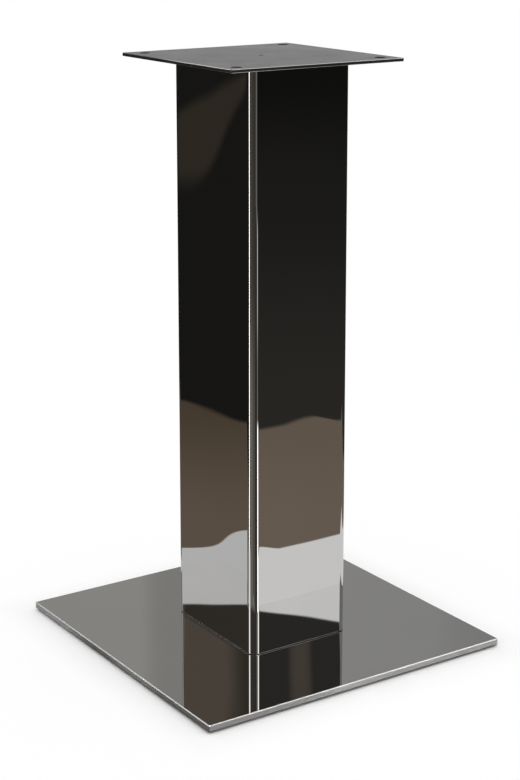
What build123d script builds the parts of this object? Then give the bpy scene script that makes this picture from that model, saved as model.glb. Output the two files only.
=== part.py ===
from build123d import *
import os

os.makedirs("parts", exist_ok=True)

# Pedestal table base: a polished square plate, a polished rectangular column and a
# black plate for the table top, pulled together by a rod down the middle of the column.
# Origin on the floor under the middle of the base, Z up, column's narrow side along X.

# Overall height, from the floor to the face that carries the table top
total_height = 720

# Base plate
base_side = 420
base_thickness = 8
base_corner_radius = 2
base_top_arris = 1.0
base_bottom_arris = 0.5

# Glides under the base plate
glide_diameter = 36
glide_thickness = 2
glide_edge_inset = 34

# Column tube
column_width = 140
column_depth = 170
column_corner_radius = 10
column_wall = 3
column_end_arris = 0.6

# Top plate
top_side = 240
top_thickness = 4
top_corner_radius = 2
top_arris = 0.5
fixing_edge_inset = 20
fixing_diameter = 11
pilot_diameter = 6

# Spigot plates inside the two ends of the column
spigot_thickness = 10
spigot_clearance = 0.5
spigot_lead_in = 2

# Tie rod and its nuts
rod_diameter = 12
rod_end_chamfer = 1
rod_end_gap = 1
rod_thread_clearance = 0.1
rod_hole_clearance = 0.5
nut_across_flats = 18
nut_height = 6
rod_past_nut = 1
washer_diameter = 24
washer_thickness = 2.5
washer_seat_depth = 2
washer_seat_clearance = 0.5
nut_recess_clearance = 4

# Countersunk screws that hold the lower spigot to the base plate
screw_diameter = 6
screw_length = 16
screw_head_diameter = 12
screw_socket = 4
screw_socket_depth = 2.2
screw_sink = 0.3
screw_hole_clearance = 0.3
screw_thread_clearance = 0.1
screw_tip_gap = 1
screw_edge_inset = 24

# Levels, from the floor up
base_bottom = glide_thickness
base_top = base_bottom + base_thickness
top_bottom = total_height - top_thickness
column_length = top_bottom - base_top
upper_spigot_bottom = top_bottom - spigot_thickness
washer_top = base_top + washer_seat_depth
nut_top = washer_top - washer_thickness
rod_bottom = nut_top - nut_height - rod_past_nut
rod_top = top_bottom - rod_end_gap

# Sizes that follow from the driving ones
column_inner_radius = max(column_corner_radius - column_wall, 0.5)
spigot_width = column_width - 2 * (column_wall + spigot_clearance)
spigot_depth = column_depth - 2 * (column_wall + spigot_clearance)
spigot_corner_radius = column_inner_radius
rod_thread_radius = rod_diameter / 2 + rod_thread_clearance
rod_hole_radius = rod_diameter / 2 + rod_hole_clearance
washer_seat_radius = washer_diameter / 2 + washer_seat_clearance
nut_recess_radius = washer_diameter / 2 + nut_recess_clearance
glide_spacing = base_side - 2 * glide_edge_inset
fixing_spacing = top_side - 2 * fixing_edge_inset
screw_spacing_x = spigot_width - 2 * screw_edge_inset
screw_spacing_y = spigot_depth - 2 * screw_edge_inset
screw_head_height = (screw_head_diameter - screw_diameter) / 2
screw_head_face = base_bottom + screw_sink
screw_hole_radius = screw_diameter / 2 + screw_hole_clearance
screw_mouth_radius = screw_head_diameter / 2 + screw_sink + screw_hole_clearance
screw_tap_depth = screw_head_face + screw_length + screw_tip_gap - base_top


# Four thin round pads, cut from sheet, one inside each corner of the base plate
glide_sides = {"front": -1, "back": 1}
glide_hands = {"left": -1, "right": 1}
for side, side_sign in glide_sides.items():
    for hand, hand_sign in glide_hands.items():
        with BuildPart() as glide:
            glide_spot = (hand_sign * glide_spacing / 2, side_sign * glide_spacing / 2)
            with BuildSketch():
                with Locations(glide_spot):
                    Circle(glide_diameter / 2)
            extrude(amount=glide_thickness)
        glide.part.label = f"glide_{side}_{hand}"
        export_step(glide.part, f"parts/{glide.part.label}.step")


# Solid square plate with eased corners, a bright chamfer round its top face, a recess
# for the rod's nut in the middle and four countersunk holes for the spigot screws
with BuildPart() as base_plate:
    with BuildSketch(Plane.XY.offset(base_bottom)):
        RectangleRounded(base_side, base_side, base_corner_radius)
    extrude(amount=base_thickness)
    chamfer(base_plate.faces().sort_by(Axis.Z)[-1].edges(), base_top_arris)
    chamfer(base_plate.faces().sort_by(Axis.Z)[0].edges(), base_bottom_arris)
    with BuildSketch(Plane.XY.offset(base_bottom)):
        Circle(nut_recess_radius)
        with GridLocations(screw_spacing_x, screw_spacing_y, 2, 2):
            Circle(screw_hole_radius)
    extrude(amount=base_thickness, mode=Mode.SUBTRACT)
    with BuildSketch(Plane.XY.offset(base_bottom)):
        with GridLocations(screw_spacing_x, screw_spacing_y, 2, 2):
            Circle(screw_mouth_radius)
    extrude(amount=screw_mouth_radius - screw_hole_radius, taper=45, mode=Mode.SUBTRACT)
base_plate.part.label = "base_plate"
export_step(base_plate.part, "parts/base_plate.step")


# Plate that fills the foot of the column, with a seat for the washer on its underside,
# a clear hole for the rod and four blind tapped holes for the screws
with BuildPart() as lower_spigot:
    with BuildSketch(Plane.XY.offset(base_top)):
        RectangleRounded(spigot_width, spigot_depth, spigot_corner_radius)
        Circle(rod_hole_radius, mode=Mode.SUBTRACT)
    extrude(amount=spigot_thickness)
    chamfer(lower_spigot.faces().sort_by(Axis.Z)[-1].outer_wire().edges(), spigot_lead_in)
    with BuildSketch(Plane.XY.offset(base_top)):
        Circle(washer_seat_radius)
    extrude(amount=washer_seat_depth, mode=Mode.SUBTRACT)
    with BuildSketch(Plane.XY.offset(base_top)):
        with GridLocations(screw_spacing_x, screw_spacing_y, 2, 2):
            Circle(screw_diameter / 2 + screw_thread_clearance)
    extrude(amount=screw_tap_depth, mode=Mode.SUBTRACT)
lower_spigot.part.label = "lower_spigot"
export_step(lower_spigot.part, "parts/lower_spigot.step")


# Four countersunk socket screws, set in from below with their heads just under flush
with BuildPart() as spigot_screws:
    with BuildSketch(Plane.XY.offset(screw_head_face)):
        with GridLocations(screw_spacing_x, screw_spacing_y, 2, 2):
            Circle(screw_diameter / 2)
    extrude(amount=screw_length)
    with BuildSketch(Plane.XY.offset(screw_head_face)):
        with GridLocations(screw_spacing_x, screw_spacing_y, 2, 2):
            Circle(screw_head_diameter / 2)
    extrude(amount=screw_head_height, taper=45)
    with BuildSketch(Plane.XY.offset(screw_head_face)):
        with GridLocations(screw_spacing_x, screw_spacing_y, 2, 2):
            RegularPolygon(screw_socket / 2, 6, major_radius=False)
    extrude(amount=screw_socket_depth, mode=Mode.SUBTRACT)
spigot_screws.part.label = "spigot_screws"
export_step(spigot_screws.part, "parts/spigot_screws.step")


# Rectangular tube with rounded corners, its outer edges eased at both ends
with BuildPart() as column:
    with BuildSketch(Plane.XY.offset(base_top)):
        RectangleRounded(column_width, column_depth, column_corner_radius)
        RectangleRounded(
            column_width - 2 * column_wall,
            column_depth - 2 * column_wall,
            column_inner_radius,
            mode=Mode.SUBTRACT,
        )
    extrude(amount=column_length)
    column_ends = column.faces().filter_by(Axis.Z)
    chamfer([edge for end in column_ends for edge in end.outer_wire().edges()], column_end_arris)
column.part.label = "column"
export_step(column.part, "parts/column.step")


# Thin square plate with eased edges, four fixing holes and a pilot hole
with BuildPart() as top_plate:
    with BuildSketch(Plane.XY.offset(top_bottom)):
        RectangleRounded(top_side, top_side, top_corner_radius)
    extrude(amount=top_thickness)
    chamfer(top_plate.faces().sort_by(Axis.Z)[-1].edges(), top_arris)
    chamfer(top_plate.faces().sort_by(Axis.Z)[0].edges(), top_arris)
    with BuildSketch(Plane.XY.offset(top_bottom)):
        Circle(pilot_diameter / 2)
        with GridLocations(fixing_spacing, fixing_spacing, 2, 2):
            Circle(fixing_diameter / 2)
    extrude(amount=top_thickness, mode=Mode.SUBTRACT)
top_plate.part.label = "top_plate"
export_step(top_plate.part, "parts/top_plate.step")


# Plate under the top plate that fills the head of the column and takes the rod's thread
with BuildPart() as upper_spigot:
    with BuildSketch(Plane.XY.offset(upper_spigot_bottom)):
        RectangleRounded(spigot_width, spigot_depth, spigot_corner_radius)
        Circle(rod_thread_radius, mode=Mode.SUBTRACT)
    extrude(amount=spigot_thickness)
    chamfer(upper_spigot.faces().sort_by(Axis.Z)[0].outer_wire().edges(), spigot_lead_in)
upper_spigot.part.label = "upper_spigot"
export_step(upper_spigot.part, "parts/upper_spigot.step")


# Straight rod, threaded at both ends, from the upper spigot down into the base recess
with BuildPart() as tie_rod:
    with BuildSketch(Plane.XY.offset(rod_bottom)):
        Circle(rod_diameter / 2)
    extrude(amount=rod_top - rod_bottom)
    chamfer(tie_rod.edges().filter_by(GeomType.CIRCLE), rod_end_chamfer)
tie_rod.part.label = "tie_rod"
export_step(tie_rod.part, "parts/tie_rod.step")


# Flat ring in its seat under the lower spigot
with BuildPart() as rod_washer:
    with BuildSketch(Plane.XY.offset(nut_top)):
        Circle(washer_diameter / 2)
        Circle(rod_hole_radius, mode=Mode.SUBTRACT)
    extrude(amount=washer_thickness)
rod_washer.part.label = "rod_washer"
export_step(rod_washer.part, "parts/rod_washer.step")


# Two thin hexagon nuts: one clamps the washer from below, one locks the rod's upper end
nut_levels = {"rod_nut": nut_top - nut_height, "rod_lock_nut": upper_spigot_bottom - nut_height}
for nut_name, nut_bottom in nut_levels.items():
    with BuildPart() as nut:
        with BuildSketch(Plane.XY.offset(nut_bottom)):
            RegularPolygon(nut_across_flats / 2, 6, major_radius=False)
            Circle(rod_thread_radius, mode=Mode.SUBTRACT)
        extrude(amount=nut_height)
    nut.part.label = nut_name
    export_step(nut.part, f"parts/{nut_name}.step")
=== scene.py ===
from math import cos, radians, sin

import bpy
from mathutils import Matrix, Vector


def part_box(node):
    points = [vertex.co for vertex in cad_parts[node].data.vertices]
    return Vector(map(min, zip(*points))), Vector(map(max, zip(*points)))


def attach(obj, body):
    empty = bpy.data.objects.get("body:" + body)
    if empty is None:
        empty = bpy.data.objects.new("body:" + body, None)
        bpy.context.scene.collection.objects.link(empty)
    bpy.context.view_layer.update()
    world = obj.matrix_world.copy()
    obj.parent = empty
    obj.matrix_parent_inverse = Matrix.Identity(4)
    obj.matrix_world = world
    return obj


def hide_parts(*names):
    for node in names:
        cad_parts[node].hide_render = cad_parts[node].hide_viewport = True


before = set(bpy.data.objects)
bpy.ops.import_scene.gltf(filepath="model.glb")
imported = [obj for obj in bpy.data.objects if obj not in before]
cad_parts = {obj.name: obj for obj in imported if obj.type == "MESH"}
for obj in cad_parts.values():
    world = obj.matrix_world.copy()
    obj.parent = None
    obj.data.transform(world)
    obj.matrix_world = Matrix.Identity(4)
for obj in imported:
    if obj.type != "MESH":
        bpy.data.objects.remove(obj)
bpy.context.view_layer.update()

scene = bpy.context.scene
scene.view_settings.view_transform = "Standard"


# Base plate: a solid square of stainless steel, 8 mm thick. Its top is polished to a mirror, its
# edges are ground along their length, and a 1 mm chamfer round the top catches the light, with a
# painted highlight in its colour. A painted shade darkens the bottom millimetre of its edge. The
# underside is left as rolled, with a recess for the rod's nut and four countersunk screws.

class Shade:
    """A value in a node tree. Arithmetic on it adds Math nodes, and node() adds any other node."""

    def __init__(self, tree, socket=None):
        self.tree = tree
        self.socket = socket

    def node(self, kind, settings=None, sockets=None, out=0):
        made = self.tree.nodes.new(kind)
        for name, value in (settings or {}).items():
            setattr(made, name, value)
        for key, value in (sockets or {}).items():
            if isinstance(value, Shade):
                self.tree.links.new(value.socket, made.inputs[key])
            else:
                made.inputs[key].default_value = value
        return Shade(self.tree, made.outputs[out] if made.outputs else None)

    def maths(self, operation, first, second=0.0):
        return self.node("ShaderNodeMath", {"operation": operation}, {0: first, 1: second})

    def __add__(self, other):
        return self.maths("ADD", self, other)

    def __radd__(self, other):
        return self.maths("ADD", other, self)

    def __sub__(self, other):
        return self.maths("SUBTRACT", self, other)

    def __rsub__(self, other):
        return self.maths("SUBTRACT", other, self)

    def __mul__(self, other):
        return self.maths("MULTIPLY", self, other)

    def __rmul__(self, other):
        return self.maths("MULTIPLY", other, self)

    def __truediv__(self, other):
        return self.maths("DIVIDE", self, other)

    def __rtruediv__(self, other):
        return self.maths("DIVIDE", other, self)

    def __lt__(self, other):
        return self.maths("LESS_THAN", self, other)

    def __gt__(self, other):
        return self.maths("GREATER_THAN", self, other)


def fade(value, low, high):
    """0 below low, 1 above high, smooth between them."""
    return value.node(
        "ShaderNodeMapRange", {"interpolation_type": "SMOOTHSTEP"}, {0: value, 1: low, 2: high}
    )


def past(value, level, soft):
    """0 below a level, 1 above it, with a step that is soft on both sides."""
    return fade(value, level - soft, level + soft)


def tint(mask, without, with_mask):
    """One colour where mask is 0 and the other where it is 1."""
    return mask.node(
        "ShaderNodeMix", {"data_type": "RGBA"}, {0: mask, 6: without, 7: with_mask}, out=2
    )


def grain(place, scale, detail=2.0, stretch=(1, 1, 1)):
    """Noise of that many grains per metre, drawn out where stretch is small."""
    drawn = place.node("ShaderNodeVectorMath", {"operation": "MULTIPLY"}, {0: place, 1: stretch})
    return place.node("ShaderNodeTexNoise", {}, {"Vector": drawn, "Scale": scale, "Detail": detail})


def bumps(relief, strength, depth):
    """A surface that stands up by depth, in metres, where relief is 1."""
    return relief.node(
        "ShaderNodeBump", {}, {"Strength": strength, "Distance": depth, "Height": relief}
    )


def part_of(place, axis):
    """How far along X, Y or Z a place lies."""
    return place.node("ShaderNodeSeparateXYZ", {}, {0: place}, out=axis)


def new_finish(name):
    """An empty material, and the place on the piece that it lies on."""
    material = bpy.data.materials.new(name)
    material.use_nodes = True
    material.node_tree.nodes.clear()
    return material, Shade(material.node_tree).node("ShaderNodeTexCoord", out=3)


def lay_on(material, **sockets):
    """Ends a material in one Principled shader with those socket values."""
    start = Shade(material.node_tree)
    named = {key.replace("_", " "): value for key, value in sockets.items()}
    surface = start.node("ShaderNodeBsdfPrincipled", {}, named)
    start.node("ShaderNodeOutputMaterial", {}, {0: surface})


def dress(node_name, material):
    """Gives a CAD node its finish."""
    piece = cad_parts[node_name]
    piece.data.materials.clear()
    piece.data.materials.append(material)


plate_bottom, plate_top = (corner.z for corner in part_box("base_plate"))
chamfer_height = 0.001
# The bottom millimetre of the plate's edge is near-black: painted shade for the gap line under it.
shaded_arris_height = 0.001
level_step = 0.0001
flat_step = 0.00001
flat_skin = 0.00003
mirror_steel = (0.60, 0.59, 0.575, 1)
hazed_steel = (0.565, 0.557, 0.54, 1)
# The chamfer's colour is brighter than the same steel elsewhere: a painted highlight.
chamfer_highlight_steel = (0.86, 0.85, 0.84, 1)
ground_steel = (0.45, 0.44, 0.43, 1)
painted_shade_arris_steel = (0.045, 0.043, 0.040, 1)
rolled_steel = (0.20, 0.197, 0.193, 1)
scaled_steel = (0.135, 0.133, 0.133, 1)

plate_finish, place = new_finish("polished plate with ground edges")
height = part_of(place, 2)
polished = past(height, plate_top - chamfer_height, level_step)
chamfered = polished * (1 - past(height, plate_top - flat_skin, flat_step))
ground = past(height, plate_bottom + shaded_arris_height, level_step)
underside = 1 - past(height, plate_bottom + flat_skin, flat_step)
haze = grain(place, 9, 3)
grinding = grain(place, 1, 3, (60, 60, 5200))
scale = fade(grain(place, 22, 6), 0.25, 0.75)

# The edge's bottom millimetre takes the painted shade colour, the rest is ground steel.
edge_colour = tint(ground, painted_shade_arris_steel, ground_steel)
below_colour = tint(underside, edge_colour, tint(scale, rolled_steel, scaled_steel))
top_colour = tint(haze, mirror_steel, hazed_steel)
mirror_roughness = 0.004 + 0.012 * haze
ground_roughness = 0.60 + 0.14 * grinding
chamfer_roughness = 0.28
roughness = polished * mirror_roughness + (1 - polished) * ground_roughness
lay_on(
    plate_finish,
    Base_Color=tint(chamfered, tint(polished, below_colour, top_colour), chamfer_highlight_steel),
    Metallic=1.0,
    Roughness=roughness + chamfer_roughness * chamfered,
    Normal=bumps(grinding * (1 - polished), 0.25, 0.0001),
)
dress("base_plate", plate_finish)


# Glides: four thin round pads cut from dark rubber sheet and stuck under the plate's corners.
# They leave a gap under the plate, which with the painted shade on its bottom arris makes the
# fine dark line between the plate and the floor.

dark_rubber = (0.012, 0.012, 0.012, 1)
dusty_rubber = (0.030, 0.029, 0.027, 1)

rubber_finish, place = new_finish("pebbled rubber")
pebble = place.node("ShaderNodeTexVoronoi", {}, {"Vector": place, "Scale": 700})
dust = grain(place, 120, 3)
lay_on(
    rubber_finish,
    Base_Color=tint(dust, dark_rubber, dusty_rubber),
    Roughness=0.72 + 0.2 * dust,
    Normal=bumps(pebble, 0.5, 0.0003),
)
for glide in ("glide_front_left", "glide_front_right", "glide_back_left", "glide_back_right"):
    dress(glide, rubber_finish)


# Lower spigot and its screws: a plate of zinc-plated steel inside the column's foot, held to
# the base plate from below by four countersunk socket screws. It centres the column.

fresh_zinc = (0.50, 0.50, 0.49, 1)
stained_zinc = (0.36, 0.36, 0.34, 1)

zinc_finish, place = new_finish("dull zinc plating")
spangle = place.node("ShaderNodeTexVoronoi", {}, {"Vector": place, "Scale": 260})
stain = grain(place, 45, 4)
lay_on(
    zinc_finish,
    Base_Color=tint(stain, fresh_zinc, stained_zinc),
    Metallic=1.0,
    Roughness=0.30 + 0.12 * spangle + 0.14 * stain,
    Normal=bumps(stain, 0.15, 0.0002),
)
dress("lower_spigot", zinc_finish)
dress("spigot_screws", zinc_finish)


# Column: a rectangular stainless tube, 3 mm thick with 10 mm corners, polished to a mirror.
# It stands on the base plate round the lower spigot. Rolling and polishing leave its flats
# very slightly wavy, which bends the lines that they mirror.

def grow(name, sizes, rule, finish):
    """A mesh made by a Geometry Nodes tree with a named input for each size."""
    tree = bpy.data.node_groups.new(name, "GeometryNodeTree")
    for size in sizes:
        tree.interface.new_socket(size, in_out="INPUT", socket_type="NodeSocketFloat")
    tree.interface.new_socket("Finish", in_out="INPUT", socket_type="NodeSocketMaterial")
    tree.interface.new_socket("Piece", in_out="OUTPUT", socket_type="NodeSocketGeometry")
    inputs = tree.nodes.new("NodeGroupInput")
    given = {output.name: Shade(tree, output) for output in inputs.outputs if output.name}
    shape = rule(Shade(tree), given)
    shape = shape.node("GeometryNodeRealizeInstances", {}, {0: shape})
    shape = shape.node(
        "GeometryNodeSetMaterial", {}, {"Geometry": shape, "Material": given["Finish"]}
    )
    shape.node("NodeGroupOutput", {}, {0: shape})
    piece = bpy.data.objects.new(name, bpy.data.meshes.new(name))
    scene.collection.objects.link(piece)
    modifier = piece.modifiers.new(name, "NODES")
    modifier.node_group = tree
    for item in tree.interface.items_tree:
        if item.in_out == "INPUT":
            modifier[item.identifier] = finish if item.name == "Finish" else sizes[item.name]
    evaluated = piece.evaluated_get(bpy.context.evaluated_depsgraph_get())
    made = bpy.data.meshes.new_from_object(evaluated)
    piece.modifiers.remove(modifier)
    piece.data = made
    made.name = name
    made.shade_smooth()
    made.set_sharp_from_angle(angle=radians(30))
    return piece


def net(start, across, along):
    """A square net of points and the two counts, from 0, that place each point in it."""
    plane = start.node(
        "GeometryNodeMeshGrid",
        {},
        {"Size X": 1.0, "Size Y": 1.0, "Vertices X": across, "Vertices Y": along},
    )
    spot = start.node("GeometryNodeInputPosition")
    share_across, share_along = part_of(spot, 0) + 0.5, part_of(spot, 1) + 0.5
    return plane, share_across * (across - 1), share_along * (along - 1)


def bend(plane, spot, push=(0, 0, 0)):
    """Moves the net's points to their spots and closes its seams."""
    seam_gap = 0.00001
    shape = plane.node(
        "GeometryNodeSetPosition", {}, {"Geometry": plane, "Position": spot, "Offset": push}
    )
    return shape.node("GeometryNodeMergeByDistance", {}, {"Geometry": shape, "Distance": seam_gap})


def fade_line(value, low, high):
    """0 below low, 1 above high, straight between them."""
    return value.node("ShaderNodeMapRange", {}, {0: value, 1: low, 2: high})


def tube_rule(start, size):
    """A net bent round four flats and corners, over an arris at each end and down the bore."""
    flat_steps, corner_steps, rows = 24, 12, 96
    rounding = 0.0001
    side_steps = flat_steps + corner_steps
    plane, step, row = net(start, 4 * side_steps + 1, rows + 3)

    # Which side a point is on, and how far along its flat or round its corner
    quarter = step / side_steps
    side = quarter.maths("FLOOR", quarter + rounding)
    within = (quarter - side) * side_steps
    along_flat = 0.5 - 0.5 * start.maths("COSINE", fade_line(within, 0, flat_steps) * radians(180))
    turn = fade_line(within, flat_steps, side_steps) * radians(90)
    away_x, away_y = start.maths("COSINE", turn), start.maths("SINE", turn)
    odd = side.maths("MODULO", side, 2)
    width, depth, radius = size["Width"], size["Depth"], size["Corner radius"]
    half_away = (width + odd * (depth - width)) / 2 - radius
    half_flat = (depth + odd * (width - depth)) / 2 - radius

    # How high a point is, and how far in from the tube's outside
    edge = size["End arris"]
    first = row < 0.5
    ends = first + (row > rows - 1.5)
    inner = (row > rows - 0.5) * (row < rows + 1.5)
    inset = edge * ends + (size["Wall"] - edge) * inner
    level = fade_line(row, 1, rows - 2) * (size["Length"] - 2 * edge) + edge
    level = (level + edge * (ends - 2 * first)) * (row < rows + 0.5)
    reach = radius - inset

    def round_axis(x, y, z):
        spot = start.node("ShaderNodeCombineXYZ", {}, {0: x, 1: y, 2: z})
        return start.node(
            "ShaderNodeVectorRotate",
            {"rotation_type": "Z_AXIS"},
            {"Vector": spot, "Angle": side * radians(90)},
        )

    spot = round_axis(
        half_away + reach * away_x,
        (2 * along_flat - 1) * half_flat + reach * away_y,
        level + size["Foot level"],
    )

    # Slow waves over the flats, which die out towards the foot
    waves_per_metre = (6.5, 6.5, 5)
    still_below, full_above = 0.02, 0.11
    outwards = round_axis(away_x, away_y, 0.0)
    wave = (grain(spot, 1, 1, waves_per_metre) - 0.5) * fade(level, still_below, full_above)
    push = start.node(
        "ShaderNodeVectorMath",
        {"operation": "SCALE"},
        {0: outwards, "Scale": wave * size["Wave height"]},
    )
    return bend(plane, spot, push)


column_low, column_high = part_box("column")
# The tube's bottom 0.8 mm is near-black: painted shade for the fine dark joint on the base plate.
shaded_joint_height = 0.0008
unbuffed_height = 0.0012
joint_step = 0.00005
joint_painted_shade = (0.015, 0.015, 0.014, 1)

column_finish, place = new_finish("mirror-polished tube")
height = part_of(place, 2)
haze = grain(place, 14, 3, (1, 1, 0.4))
shaded_joint = 1 - past(height, column_low.z + shaded_joint_height, joint_step)
unbuffed = 1 - past(height, column_low.z + unbuffed_height, joint_step)
lay_on(
    column_finish,
    Base_Color=tint(shaded_joint, tint(haze, mirror_steel, hazed_steel), joint_painted_shade),
    Metallic=1.0,
    Roughness=0.003 + 0.010 * haze + 0.30 * unbuffed,
)
column = grow(
    "polished_column",
    {
        "Width": column_high.x - column_low.x,
        "Depth": column_high.y - column_low.y,
        "Length": column_high.z - column_low.z,
        "Foot level": column_low.z,
        "Corner radius": 0.010,
        "Wall": 0.003,
        "End arris": 0.0006,
        "Wave height": 0.0004,
    },
    tube_rule,
    column_finish,
)
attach(column, "root")
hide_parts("column")


# Top plate and upper spigot: a 4 mm steel plate that the table top is screwed to, with a
# thicker plate welded under it that fills the column's head. Both have a black powder coat,
# which is worn off the plate's arris along the front.

def from_middle(place):
    """Distances from the middle along X and along Y."""
    return [place.maths("ABSOLUTE", part_of(place, axis)) for axis in (0, 1)]


top_low, top_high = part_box("top_plate")
arris_width = 0.00048
fixing_inset = 0.020
hole_reach = 0.0066
coat_black = (0.009, 0.009, 0.009, 1)
coat_cloudy = (0.015, 0.015, 0.0145, 1)
bare_steel = (0.62, 0.61, 0.60, 1)
# Painted shade for the fixing holes.
hole_painted_shade = (0.002, 0.002, 0.002, 1)

coat_finish, place = new_finish("black powder coat")
peel = grain(place, 620, 2)
cloud = grain(place, 30, 3)
sides = from_middle(place)
from_half_height = place.maths("ABSOLUTE", part_of(place, 2) - (top_low.z + top_high.z) / 2)
near_rim = place.maths("MAXIMUM", *sides) > top_high.x - arris_width
near_face = from_half_height > (top_high.z - top_low.z) / 2 - arris_width
worn = 1 - fade(part_of(place, 1) + 0.1 * grain(place, 22, 3), 0.02, 0.10)
arris = worn * near_rim * near_face
hole_x, hole_y = (side - (top_high.x - fixing_inset) for side in sides)
# Each fixing hole and a thin ring round it are near-black and dull: painted shade in the holes.
shaded_hole = hole_x * hole_x + hole_y * hole_y < hole_reach * hole_reach
coat = tint(cloud, coat_black, coat_cloudy)
lay_on(
    coat_finish,
    Base_Color=tint(shaded_hole, tint(arris, coat, bare_steel), hole_painted_shade),
    Metallic=arris + shaded_hole,
    Roughness=0.23 + 0.10 * cloud + 0.05 * peel + 0.8 * shaded_hole,
    Normal=bumps(peel, 0.35, 0.0002),
)
dress("top_plate", coat_finish)
dress("upper_spigot", coat_finish)


# Tie rod, washer and nuts: a 12 mm rod of zinc-plated steel down the middle of the column, with
# a rolled thread of 1.75 mm pitch at each end. Its washer and nut in the base plate's recess
# pull the two plates together, and a thin nut locks it under the upper spigot.

def rod_rule(start, size):
    """A net rolled round the rod, with a groove near both ends that climbs a pitch in a turn."""
    around, rows = 24, 170
    runout_length = 0.003
    plane, step, row = net(start, around + 1, 2 * rows)
    upper = row > rows - 0.5
    climb = fade_line(row - upper * rows, 1, rows - 2) * size["Thread length"]
    level = climb + upper * (size["Length"] - size["Thread length"])
    from_end = level.maths("MINIMUM", level, size["Length"] - level)
    angle = step * radians(360 / around)
    turns = level / size["Pitch"] + step / around
    flank = turns.maths("FRACT", turns) * 2 - 1
    groove = flank.maths("ABSOLUTE", flank)
    runout = fade_line(size["Thread length"] - from_end, 0, runout_length)
    reach = size["Radius"] - groove * runout * size["Thread depth"]
    reach = reach.maths("MINIMUM", reach, size["Radius"] - size["End chamfer"] + from_end)
    cap = (row < 0.5) + (row > 2 * rows - 1.5)
    reach = reach * (1 - cap)
    spot = start.node(
        "ShaderNodeCombineXYZ",
        {},
        {
            0: reach * start.maths("COSINE", angle),
            1: reach * start.maths("SINE", angle),
            2: level + size["Foot level"],
        },
    )
    return bend(plane, spot)


rod_low, rod_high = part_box("tie_rod")
rod = grow(
    "threaded_rod",
    {
        "Radius": (rod_high.x - rod_low.x) / 2,
        "Length": rod_high.z - rod_low.z,
        "Foot level": rod_low.z,
        "Thread length": 0.042,
        "Thread depth": 0.0010,
        "Pitch": 0.00175,
        "End chamfer": 0.001,
    },
    rod_rule,
    zinc_finish,
)
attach(rod, "root")
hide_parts("tie_rod")
for fastener in ("rod_washer", "rod_nut", "rod_lock_nut"):
    dress(fastener, zinc_finish)


# Studio: a white floor that keeps the base's soft shadow, white all round, and one broad lamp
# above it. Cards outside the picture, seen only in the polished steel, give it its dark and
# brown reflections, as dark boards and screens do round bright metal.

def flat_card(name, points, faces, finish):
    """A card of thin faces that belongs to the studio, not to the base."""
    mesh = bpy.data.meshes.new(name)
    mesh.from_pydata(points, [], faces)
    mesh.materials.append(finish)
    card = bpy.data.objects.new(name, mesh)
    scene.collection.objects.link(card)
    return card


def square_card(name, level, finish):
    """A level card that reaches far past the picture on all sides."""
    far = 14
    corners = [(-far, -far, level), (far, -far, level), (far, far, level), (-far, far, level)]
    return flat_card(name, corners, [(0, 1, 2, 3)], finish)


def only_mirrored(card):
    """Leaves a card to be seen in reflections alone."""
    card.visible_camera = False
    card.visible_diffuse = False
    card.visible_shadow = False
    card.visible_transmission = False


def glow(material, colour):
    """Ends a card's material in a colour that shows as it is written and lights nothing."""
    start = Shade(material.node_tree)
    light = start.node("ShaderNodeEmission", {}, {"Color": colour, "Strength": 1.0})
    start.node("ShaderNodeOutputMaterial", {}, {0: light})
    material.cycles.emission_sampling = "NONE"


def on_floor(place):
    """The same places with their heights left out."""
    return place.node("ShaderNodeVectorMath", {"operation": "MULTIPLY"}, {0: place, 1: (1, 1, 0)})


def seen_from(place, spot):
    """The same places, measured from a spot on the floor."""
    return place.node("ShaderNodeVectorMath", {"operation": "SUBTRACT"}, {0: place, 1: spot})


def distance(place):
    """How far away a place is along the floor."""
    return place.node(
        "ShaderNodeVectorMath", {"operation": "LENGTH"}, {0: on_floor(place)}, out=1
    )


def toward(place, compass, half, soft):
    """1 in a wedge of the room round a place, by compass degrees from +X."""
    level = place.node("ShaderNodeVectorMath", {"operation": "NORMALIZE"}, {0: on_floor(place)})
    middle = (cos(radians(compass)), sin(radians(compass)), 0)
    lined_up = place.node(
        "ShaderNodeVectorMath", {"operation": "DOT_PRODUCT"}, {0: level, 1: middle}, out=1
    )
    return fade(lined_up, cos(radians(half + soft)), cos(radians(max(half - soft, 0))))


def strips(corner, share, under, *bands):
    """Strips on a card that run out from a corner, which mirrors them as fine upright lines."""
    for compass, half, soft, colour in bands:
        under = tint(share * toward(corner, compass, half, soft), under, colour)
    return under


def grey(level):
    """A colour that is the same in red, green and blue."""
    return (level, level, level, 1)


# The floor takes shadow beside the plate. Further out the picture shows it nearly plain white.
plate_margin, shadow_end = 0.222, 0.268
plain_share = 0.75
floor_finish, place = new_finish("white studio floor")
paint = place.node(
    "ShaderNodeBsdfPrincipled",
    {},
    {"Base Color": grey(0.98), "Roughness": 1.0, "Specular IOR Level": 0.0},
)
white = place.node("ShaderNodeEmission", {}, {"Color": grey(1.0), "Strength": 1.0})
in_picture = place.node("ShaderNodeLightPath")
past_shadow = fade(place.maths("MAXIMUM", *from_middle(place)), plate_margin, shadow_end)
plain = plain_share * in_picture * past_shadow
floor_look = place.node("ShaderNodeMixShader", {}, {0: plain, 1: paint, 2: white})
place.node("ShaderNodeOutputMaterial", {}, {0: floor_look})
floor_finish.cycles.emission_sampling = "NONE"
square_card("studio_floor", -0.0003, floor_finish)

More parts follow.
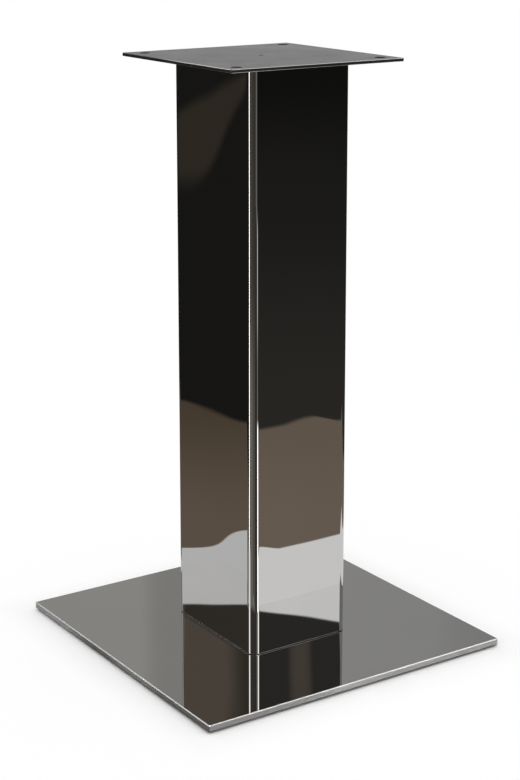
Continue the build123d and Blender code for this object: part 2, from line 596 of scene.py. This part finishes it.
# What the cards share. A band or line is given by its compass, half width and softness, all in
# degrees, as seen from one of the spots on the column.
black = (0.0135, 0.0132, 0.0122, 1)
far_black = (0.0185, 0.0182, 0.0172, 1)
strip_white = (2.5, 2.5, 2.45, 1)
line_white = (4.0, 4.0, 3.95, 1)
strip_grey = (0.20, 0.195, 0.185, 1)
strip_dark = (0.045, 0.042, 0.036, 1)
far_left_grey = (0.085, 0.078, 0.068, 1)
far_middle_grey = (0.060, 0.055, 0.047, 1)
right_half = (305, 60, 30)
left_band, middle_band, right_band = (200, 22, 2), (231, 16, 4), (257, 11, 2)
first_line = (172.5, 3.2, 0.6, line_white)
back_line = (40, 12, 3, (0.50, 0.49, 0.48, 1))
corner_depth = 0.008
left_side = (column_low.x + corner_depth, -0.02, 0)
front_corner = (column_low.x + corner_depth, column_low.y + corner_depth, 0)
back_corner = (column_high.x - corner_depth, column_high.y - corner_depth, 0)

# A white sheet lies under the base. Brown boards lie round it, and the floor is black beyond.
boards_finish, place = new_finish("brown and black boards")
across, along, reach = part_of(place, 0), part_of(place, 1), distance(place)
widest = place.maths("MAXIMUM", *from_middle(place))
right_hand = toward(place, *right_half)

# The boards reach a bowed edge on the left and a stepped one on the right.
brown_left, brown_right, brown_soft = -0.591, -0.8545, 0.012
bow_middle, bow_strength, bow_limit = 0.827, 17, 0.002
step_out, step_in = 0.015, 0.042
bow = along - bow_middle
bow = bow * bow * bow
bow = bow.maths("MINIMUM", bow.maths("MAXIMUM", bow, -bow_limit), bow_limit)
left_edge = across - brown_left - bow_strength * bow
right_edge = along - brown_right + step_out * fade(across, 0.497, 0.571)
right_edge = right_edge - step_in * fade(across, 0.577, 0.607)
brown_part = past(left_edge, 0, brown_soft) * past(right_edge, 0, brown_soft)
brown_part = brown_part * (1 - fade(across, 0.74, 0.80)) * (1 - fade(along, 1.06, 1.12))
left_brown = tint(fade(reach, 0.4, 1.1), (0.160, 0.126, 0.096, 1), (0.092, 0.069, 0.049, 1))
right_brown = tint(fade(reach, 0.5, 1.0), (0.212, 0.172, 0.136, 1), (0.188, 0.151, 0.118, 1))
brown = tint(right_hand, left_brown, right_brown)
right_black = tint(fade(reach, 0.9, 3.0), (0.034, 0.033, 0.030, 1), far_black)
board_colour = tint(brown_part, tint(right_hand, black, right_black), brown)

# The sheet is rippled along the back, stepped at the front, and dark in a strip on the left. It is
# greyer on the left than on the right: painted shade for the shadowed side of the floor.
sheet_left, sheet_right, sheet_soft = -0.345, 0.45, 0.003
sheet_front, sheet_back, front_step = -0.3818, 0.2853, 0.02
ripple_start, ripple_length, ripple_depth = -0.2395, 0.125, 0.014
plate_cover = 0.2095
ripple = place.maths("COSINE", (across - ripple_start) * radians(360 / ripple_length))
back_edge = along - sheet_back + ripple_depth * ripple
front_edge = along - sheet_front + front_step * (1 - fade(across, 0.152, 0.175))
sheet = (1 - past(back_edge, 0, sheet_soft)) * past(front_edge, 0, sheet_soft)
sheet = sheet * (across > sheet_left) * (across < sheet_right)
left_strip = 1 - past(across, -0.2108, 0.0004)
left_strip = left_strip * (1 - past(along + 1.483 * across, -0.22, 0.04))
# Painted shade: the sheet's grey left side and white right side.
sheet_with_painted_shade = tint(right_hand, (0.69, 0.70, 0.715, 1), (0.925, 0.93, 0.945, 1))
sheet_with_painted_shade = tint(left_strip, sheet_with_painted_shade, (0.14, 0.135, 0.125, 1))
board_colour = tint(sheet, board_colour, sheet_with_painted_shade)
board_colour = tint(widest < plate_cover, board_colour, black)

# Strips from the column's corners give it the fine upright lines.
clear = fade(widest, plate_margin, 0.236)
corner = seen_from(place, front_corner)
span = distance(corner)
farther = fade(span, 0.9, 2.2)
half_way = fade(span, 0.93, 1.0)
board_colour = strips(
    corner,
    clear,
    board_colour,
    (*left_band, tint(farther, (0.20, 0.19, 0.175, 1), far_left_grey)),
    (*middle_band, tint(farther, (0.12, 0.11, 0.098, 1), far_middle_grey)),
    (*right_band, strip_dark),
    (271, 8, 1, strip_grey),
)
beside_line = (276, 13, 1, strip_dark)
faint_line = tint(fade(span, 1.3, 1.9), (0.30, 0.29, 0.28, 1), (0.85, 0.84, 0.82, 1))
faint_share = clear * half_way * (1 - fade(span, 2.6, 3.1))
board_colour = strips(corner, faint_share, board_colour, beside_line, (282, 4.2, 1, faint_line))
near_share = clear * (1 - half_way)
board_colour = strips(corner, near_share, board_colour, beside_line, (285, 5.8, 1, strip_white))
board_colour = strips(seen_from(place, left_side), clear, board_colour, first_line)
foot_share = fade(widest, plate_margin, 0.228) * (1 - fade(span, 0.34, 0.42))
board_colour = strips(corner, foot_share, board_colour, (166, 13, 1, (1.1, 1.1, 1.08, 1)))
board_colour = strips(seen_from(place, back_corner), clear, board_colour, back_line)
glow(boards_finish, board_colour)
only_mirrored(square_card("studio_boards", -0.0001, boards_finish))

# Screens stand round the room. They are dark low down, with a dim brown patch on the left.
screens_finish, place = new_finish("grey and dark screens")
across, height = part_of(place, 0), part_of(place, 2)
upper = fade(height, 0.70, 0.86)
right_low = tint(fade(height, 0.0, 0.40), far_black, (0.0080, 0.0079, 0.0076, 1))
low_colour = tint(toward(place, *right_half), black, right_low)
patch = fade(height - 0.0205 + (across + 1.690) * 2.57, -0.12, -0.05) * fade(height, 0.0, 0.10)
patch = patch * (1 - fade(height - 0.325 + (across + 1.7756) * 0.772, -0.03, 0.02))
patch = patch * toward(place, 123, 4, 1.5)
low_colour = tint(patch, low_colour, (0.041, 0.034, 0.026, 1))

# The base plate mirrors their pale middle, which has a faint shade on each side of the column.
pale = tint(toward(place, 80, 24, 10), (0.343, 0.345, 0.348, 1), (0.372, 0.369, 0.358, 1))
pale = tint(toward(place, 61, 0.5, 1.5), pale, (0.305, 0.302, 0.296, 1))
pale = tint(toward(place, 42.6, 0.8, 3.2), pale, (0.300, 0.302, 0.305, 1))
screen_colour = tint(upper, low_colour, pale)
low_back = toward(place, 56, 14, 6) * upper * (1 - fade(height, 1.12, 1.17))
screen_colour = tint(low_back, screen_colour, grey(1.15))

# The column's foot mirrors a white wall on each side by way of the plate, with a dark panel above.
wall = fade(height, 1.08, 1.14)
screen_colour = tint(toward(place, 122.5, 4.5, 0.8) * wall, screen_colour, (1.10, 1.12, 1.16, 1))
screen_colour = tint(toward(place, 304.4, 3.6, 0.8) * wall, screen_colour, (1.40, 1.43, 1.48, 1))
left_dark = toward(place, 136.7, 15.3, 0.4) * fade(height, 1.296, 1.303)
left_dark = left_dark * (1 - fade(height, 1.72, 1.75))
warm = past(height - 1.39 + 0.825 * (across + 1.745), 0, 0.006)
warm = warm * (1 - toward(place, 138.5, 14, 0.7))
left_colour = tint(warm, (0.070, 0.062, 0.050, 1), (0.170, 0.145, 0.122, 1))
screen_colour = tint(left_dark, screen_colour, left_colour)
right_dark = toward(place, 311.5, 16.5, 1) * (1 - fade(height, 1.64, 1.70))
right_dark = right_dark * past(height - 1.2965 - 0.172 * (across - 1.705), 0, 0.004)
stripe = toward(place, 304.35, 0.2, 0.55)
stripe = stripe * past(height - 1.412 + 0.49 * (across - 1.776), 0, 0.004)
right_colour = tint(stripe, (0.052, 0.052, 0.050, 1), (0.135, 0.115, 0.098, 1))
screen_colour = tint(right_dark, screen_colour, right_colour)

# The corners' strips go on up the screens, low down for the column and higher for the plate.
corner = seen_from(place, front_corner)
screen_colour = strips(
    corner,
    1 - upper,
    screen_colour,
    (*left_band, far_left_grey),
    (*middle_band, far_middle_grey),
    (*right_band, strip_dark),
    (268, 9, 1, strip_grey),
)
first_share = 1 - fade(height, 0.45, 0.55)
screen_colour = strips(seen_from(place, left_side), first_share, screen_colour, first_line)
high_white = (2.6, 2.6, 2.55, 1)
screen_colour = strips(
    corner,
    fade(height, 1.24, 1.28),
    screen_colour,
    (*left_band, (0.082, 0.078, 0.071, 1)),
    (*middle_band, (0.075, 0.071, 0.065, 1)),
    (*right_band, (0.070, 0.066, 0.060, 1)),
    (167.5, 8, 1, high_white),
    (293.3, 5.7, 1, high_white),
)
screen_colour = strips(seen_from(place, back_corner), 1 - upper, screen_colour, back_line)

# Above the plate's view they are grey. A soft box lights the plate's front edge, a bright card
# its chamfer, and a dark flag keeps that chamfer dull near the front corner.
high_colour = tint(toward(place, 185, 50, 8), grey(0.62), grey(0.30))
high_colour = tint(toward(place, 114, 9, 3), high_colour, grey(3.2))
screen_colour = tint(fade(height, 1.84, 1.94), screen_colour, high_colour)
softbox = toward(place, 266, 20, 6) * fade(height, 2.85, 2.95)
screen_colour = tint(softbox, screen_colour, grey(24.0))
bright_card = toward(place, 329, 11, 2) * fade(height, 2.60, 2.70)
screen_colour = tint(bright_card, screen_colour, grey(1.9))
room_white = 1.03
screen_colour = tint(fade(height, 3.58, 3.62), screen_colour, grey(room_white))
flag = toward(place, 304, 13, 2) * fade(height, 2.50, 2.70)
screen_colour = tint(flag, screen_colour, black)
glow(screens_finish, screen_colour)

room_radius, room_height, ring = 3.2, 4.6, 192
turns = [radians(360 * n / ring) for n in range(ring)]
points = [
    (room_radius * cos(turn), room_radius * sin(turn), level)
    for level in (0.0, room_height)
    for turn in turns
]
faces = [(n, (n + 1) % ring, ring + (n + 1) % ring, ring + n) for n in range(ring)]
only_mirrored(flat_card("studio_screens", points, faces, screens_finish))

world = bpy.data.worlds.new("white room")
scene.world = world
world.use_nodes = True
world.node_tree.nodes.clear()
start = Shade(world.node_tree)
backdrop = start.node("ShaderNodeBackground", {}, {"Color": grey(1.0), "Strength": room_white})
start.node("ShaderNodeOutputWorld", {}, {0: backdrop})

lamp = bpy.data.objects.new("overhead_lamp", bpy.data.lights.new("overhead_lamp", "AREA"))
lamp.data.shape = "RECTANGLE"
lamp.data.size = 2.4
lamp.data.size_y = 1.8
lamp.data.energy = 4
lamp.location = (0.5, -0.3, 3.4)
lamp.rotation_euler = (radians(-5), radians(8), 0)
lamp.visible_glossy = False
scene.collection.objects.link(lamp)

camera = bpy.data.objects.new("camera", bpy.data.cameras.new("camera"))
camera.location = (-1.18523, -1.76431, 0.92366)
camera.rotation_euler = (radians(78.1273), 0, radians(-33.859))
camera.data.lens = 83.083
camera.data.sensor_width = 36
camera.data.shift_y = -0.1705
scene.collection.objects.link(camera)
scene.camera = camera
